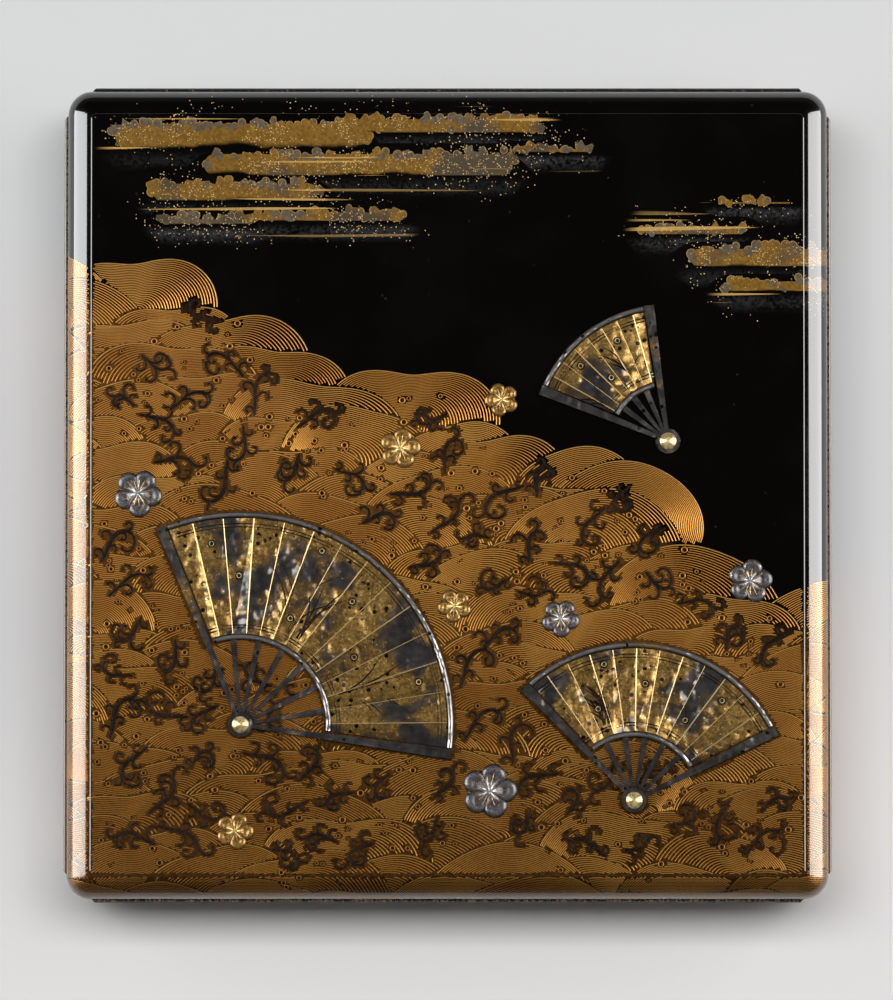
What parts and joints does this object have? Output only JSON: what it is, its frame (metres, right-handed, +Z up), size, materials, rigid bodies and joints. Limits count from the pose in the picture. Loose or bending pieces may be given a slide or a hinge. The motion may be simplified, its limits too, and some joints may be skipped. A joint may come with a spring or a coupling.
{
  "type": "lacquered writing box",
  "caption": "Square lacquered writing box with a lift-off lid, relief fans on a gold-lined ground, and inkstone, water dropper, trays and writing tools inside.",
  "frame": {"origin": "centre of the underside, on the table", "axes": "+X to the right and +Y to the back as seen from the front, +Z up through the lid"},
  "size_m": [0.225, 0.239, 0.0509],
  "materials": {
    "black_lacquer": "polished black lacquer on wood",
    "gold_lined_lacquer": "black lacquer covered with fine gold lines",
    "silver_relief": "raised lacquer dusted with silver",
    "gold_relief": "raised lacquer dusted with gold",
    "gilt_metal": "gilt metal studs",
    "slate": "dark ground slate",
    "dropper_bronze": "patinated cast bronze",
    "steel": "ground steel",
    "handle_lacquer": "gold-dusted lacquer on wood",
    "hair": "animal hair",
    "soot_ink": "pressed soot and glue"
  },
  "bodies": {
    "base": {"base_wall_front": "gold_lined_lacquer", "base_wall_back": "gold_lined_lacquer", "base_wall_left": "gold_lined_lacquer", "base_wall_right": "gold_lined_lacquer", "base_floor": "black_lacquer", "lip_front": "black_lacquer", "lip_back": "black_lacquer", "lip_left": "black_lacquer", "lip_right": "black_lacquer", "centre_board": "black_lacquer"},
    "lid": {"lid_wall_front": "gold_lined_lacquer", "lid_wall_back": "gold_lined_lacquer", "lid_wall_left": "gold_lined_lacquer", "lid_wall_right": "gold_lined_lacquer", "lid_top": "gold_lined_lacquer", "large_fan_leaf": "gold_relief", "large_fan_sticks": "silver_relief", "large_fan_beads": "silver_relief", "middle_fan_leaf": "gold_relief", "middle_fan_sticks": "silver_relief", "middle_fan_beads": "silver_relief", "small_fan_leaf": "gold_relief", "small_fan_sticks": "silver_relief", "small_fan_beads": "silver_relief", "fan_rivets": "gilt_metal", "ring_studs": "gilt_metal", "silver_blossoms": "silver_relief", "gold_blossoms": "gold_relief"},
    "inkstone": {"inkstone": "slate"},
    "water_dropper": {"dropper_cup": "dropper_bronze", "dropper_cover": "dropper_bronze"},
    "left_tray": {"left_tray": "black_lacquer"},
    "right_tray": {"right_tray": "black_lacquer"},
    "brush_1": {"brush_1_handle": "handle_lacquer", "brush_1_tuft": "hair"},
    "brush_2": {"brush_2_handle": "handle_lacquer", "brush_2_tuft": "hair"},
    "ink_stick": {"ink_stick": "soot_ink"},
    "knife": {"knife_handle": "handle_lacquer", "knife_blade": "steel"},
    "awl": {"awl_handle": "handle_lacquer", "awl_spike": "steel"}
  },
  "joints": [
    {"name": "lid_lift", "type": "slide", "parent": "base", "child": "lid", "axis": [0, 0, 1], "range_m": [0, 0.15]},
    {"name": "inkstone_lift", "type": "slide", "parent": "base", "child": "inkstone", "axis": [0, 0, 1], "range_m": [0, 0.02]},
    {"name": "water_dropper_lift", "type": "slide", "parent": "base", "child": "water_dropper", "axis": [0, 0, 1], "range_m": [0, 0.018]},
    {"name": "left_tray_lift", "type": "slide", "parent": "base", "child": "left_tray", "axis": [0, 0, 1], "range_m": [0, 0.01]},
    {"name": "right_tray_lift", "type": "slide", "parent": "base", "child": "right_tray", "axis": [0, 0, 1], "range_m": [0, 0.01]},
    {"name": "brush_1_lift", "type": "slide", "parent": "right_tray", "child": "brush_1", "axis": [0, 0, 1], "range_m": [0, 0.014]},
    {"name": "brush_2_lift", "type": "slide", "parent": "right_tray", "child": "brush_2", "axis": [0, 0, 1], "range_m": [0, 0.014]},
    {"name": "ink_stick_lift", "type": "slide", "parent": "left_tray", "child": "ink_stick", "axis": [0, 0, 1], "range_m": [0, 0.014]},
    {"name": "knife_lift", "type": "slide", "parent": "left_tray", "child": "knife", "axis": [0, 0, 1], "range_m": [0, 0.014]},
    {"name": "awl_lift", "type": "slide", "parent": "left_tray", "child": "awl", "axis": [0, 0, 1], "range_m": [0, 0.014]}
  ]
}
